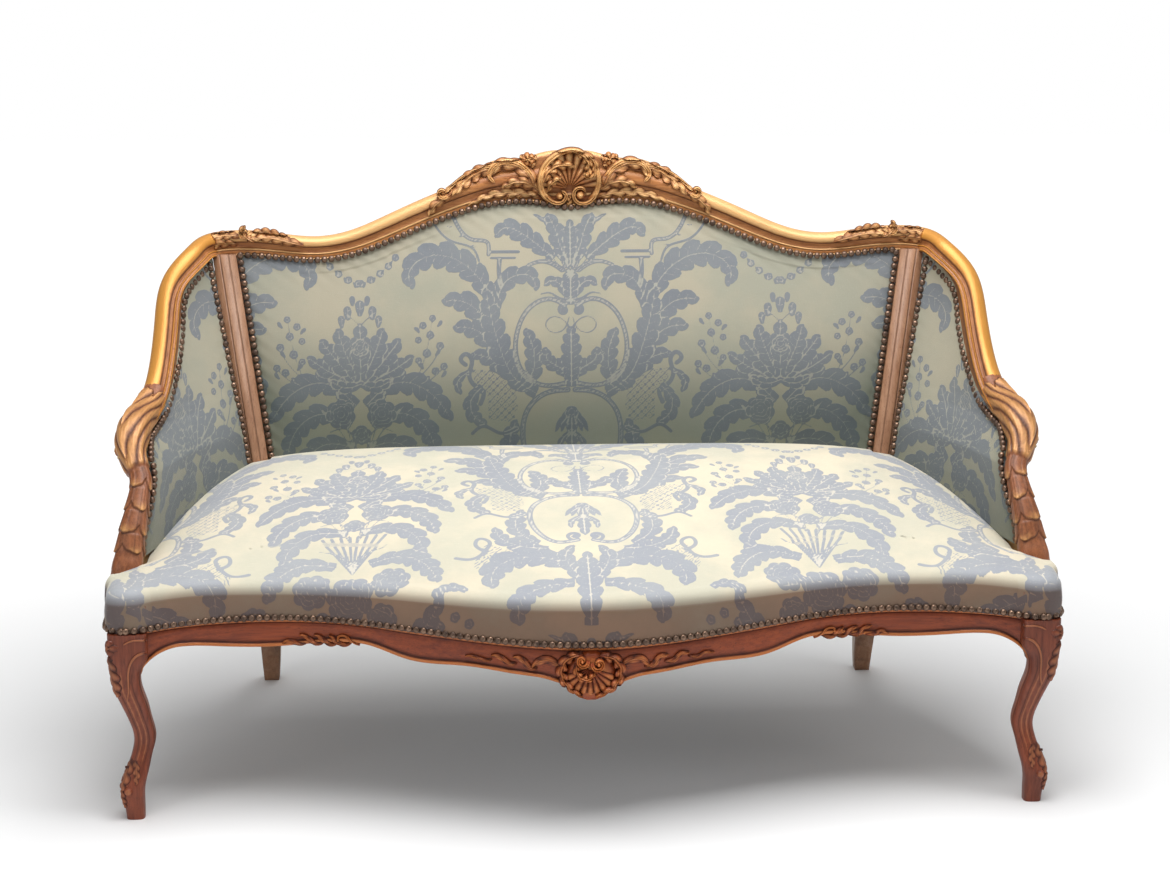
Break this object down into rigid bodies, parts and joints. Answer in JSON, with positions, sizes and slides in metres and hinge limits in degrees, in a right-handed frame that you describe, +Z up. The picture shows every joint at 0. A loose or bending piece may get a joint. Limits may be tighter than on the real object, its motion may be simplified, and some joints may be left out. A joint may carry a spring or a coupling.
{
  "type": "sofa",
  "caption": "French-style cabriole sofa: carved show-wood frame with a serpentine front, arched crest and swept arms, close-nailed blue-grey damask upholstery.",
  "frame": {"origin": "on the floor, under the middle of the sofa's box", "axes": "+X to the right as seen from the front, +Y to the back, +Z up"},
  "size_m": [1.438, 0.761, 0.941],
  "materials": {
    "mahogany": "polished, moulded edges rubbed with gold",
    "walnut": "polished",
    "gilded_wood": "carved, honey-brown with gilt on the raised parts",
    "beech": "planed",
    "birch": "turned",
    "steel": "plain",
    "webbing": "woven jute",
    "hessian": "woven jute",
    "stuffing": "felted",
    "damask": "woven damask, blue-grey figure on a pale ground",
    "plain_cloth": "woven",
    "black_cloth": "woven",
    "antique_nails": "antiqued, domed"
  },
  "bodies": {
    "root": {"arm_rail_left": "gilded_wood", "arm_rail_right": "gilded_wood", "arm_support_left": "gilded_wood", "arm_support_right": "gilded_wood", "back_corner_block_left": "beech", "back_corner_block_right": "beech", "back_cover": "damask", "back_hessian": "hessian", "back_lower_rail": "beech", "back_nails": "antique_nails", "back_post_left": "walnut", "back_post_right": "walnut", "back_seat_rail": "beech", "back_stuffing": "stuffing", "back_webbing": "webbing", "corner_block_screws": "steel", "crest_rail": "gilded_wood", "frame_dowels": "birch", "front_corner_block_left": "beech", "front_corner_block_right": "beech", "front_leg_left": "mahogany", "front_leg_right": "mahogany", "front_seat_rail": "mahogany", "outside_back_cover": "plain_cloth", "outside_wing_cover_left": "plain_cloth", "outside_wing_cover_right": "plain_cloth", "seat_cover": "damask", "seat_dust_cover": "black_cloth", "seat_hessian": "hessian", "seat_nails": "antique_nails", "seat_springs": "steel", "seat_stuffing": "stuffing", "seat_webbing": "webbing", "side_seat_rail_left": "mahogany", "side_seat_rail_right": "mahogany", "wing_cover_left": "damask", "wing_cover_right": "damask", "wing_lower_rail_left": "beech", "wing_lower_rail_right": "beech", "wing_nails_left": "antique_nails", "wing_nails_right": "antique_nails", "wing_stuffing_left": "stuffing", "wing_stuffing_right": "stuffing"}
  },
  "joints": []
}
